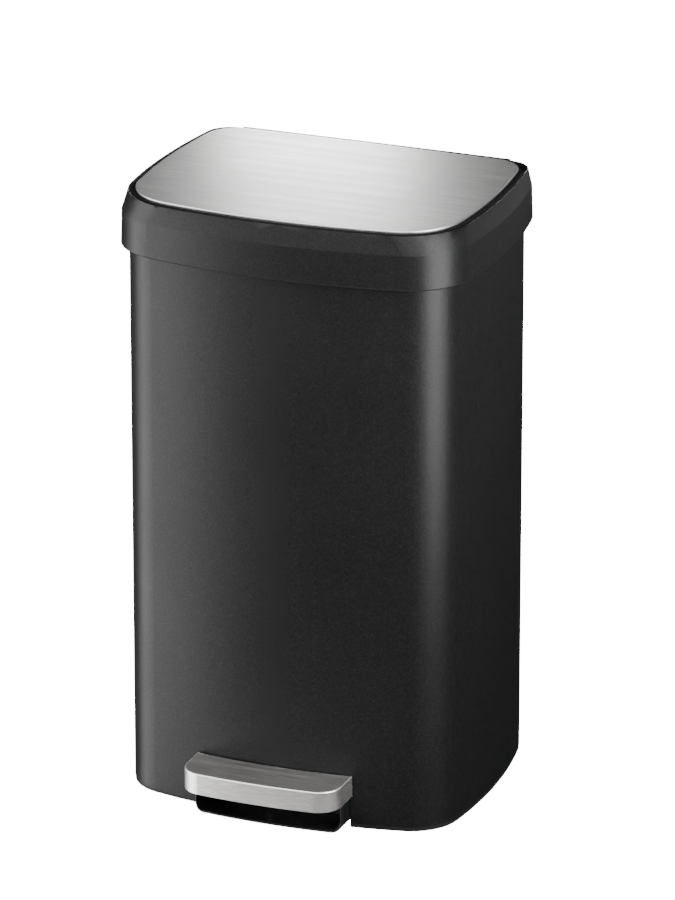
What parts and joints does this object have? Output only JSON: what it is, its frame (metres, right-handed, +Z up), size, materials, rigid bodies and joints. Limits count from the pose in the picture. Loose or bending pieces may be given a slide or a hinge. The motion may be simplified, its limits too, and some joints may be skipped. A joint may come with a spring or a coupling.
{
  "type": "pedal trash can",
  "caption": "Tall rounded-rectangle step bin: dark powder-coated body, steel-faced hinged lid with black rim, and a front foot pedal that lifts the lid.",
  "frame": {"origin": "on the floor, midway between the body's two sides and midway between its front and back at the middle of the width", "axes": "+X to the can's own left-to-right as seen from the front (right is +X), +Y from the pedal side to the hinge side, +Z up"},
  "size_m": [0.3908, 0.3469, 0.656],
  "materials": {
    "body_paint": "satin charcoal powder coat",
    "brushed_steel": "brushed along the width",
    "plain_steel": "zinc-plated sheet and rod",
    "black_gloss": "glossy black",
    "black_matte": "matte black",
    "bucket_plastic": "matte dark grey",
    "grey_plastic": "matte grey",
    "bumper_rubber": "matte"
  },
  "bodies": {
    "can": {"floor_ring": "black_matte", "body_shell": "body_paint", "base_tray": "black_matte", "collar": "body_paint", "seat_ring": "black_matte", "hinge_cover": "black_gloss", "hinge_bracket_left": "plain_steel", "hinge_bracket_right": "plain_steel", "hinge_pin_left": "plain_steel", "hinge_pin_right": "plain_steel", "axle_saddle_left": "black_matte", "axle_saddle_right": "black_matte", "hinge_screws": "plain_steel", "rod_guide_lower": "grey_plastic", "rod_guide_upper": "grey_plastic", "guide_screws": "plain_steel", "base_screws": "plain_steel", "pedal_axle": "plain_steel", "axle_clips": "plain_steel", "pedal_guard": "black_gloss", "guard_screws": "plain_steel"},
    "bucket": {"inner_bucket": "bucket_plastic"},
    "lid": {"lid_plate": "brushed_steel", "lid_frame": "black_gloss", "lid_liner": "black_matte", "lid_screws": "plain_steel", "lid_bumpers": "bumper_rubber", "lid_crank": "plain_steel", "crank_rivets": "plain_steel", "crank_pin": "plain_steel"},
    "rod": {"push_rod": "plain_steel", "rod_yoke": "grey_plastic", "yoke_rivets": "plain_steel"},
    "lever": {"pedal_plate": "brushed_steel", "pedal_core": "black_matte", "pedal_lever": "plain_steel", "pedal_screws": "plain_steel", "lever_bush_left": "grey_plastic", "lever_bush_right": "grey_plastic", "link_pin": "plain_steel"}
  },
  "joints": [
    {"name": "lid_hinge", "type": "hinge", "parent": "can", "child": "lid", "pos_m": [0, 0.128, 0.646], "axis": [-1, 0, 0], "range_deg": [0, 80]},
    {"name": "rod_slide", "type": "slide", "parent": "can", "child": "rod", "axis": [0, 0, 1], "range_m": [0, 0.0193]},
    {"name": "pedal_hinge", "type": "hinge", "parent": "can", "child": "lever", "pos_m": [0, -0.0293, 0.021], "axis": [1, 0, 0], "range_deg": [0, 7.66]},
    {"name": "bucket_lift", "type": "slide", "parent": "can", "child": "bucket", "axis": [0, 0, 1], "range_m": [0, 0.008]}
  ],
  "couplings": [
    {"joint": "rod_slide", "follows": "lid_hinge", "m_per_rad": 0.013811},
    {"joint": "pedal_hinge", "follows": "lid_hinge", "ratio": 0.095725}
  ]
}
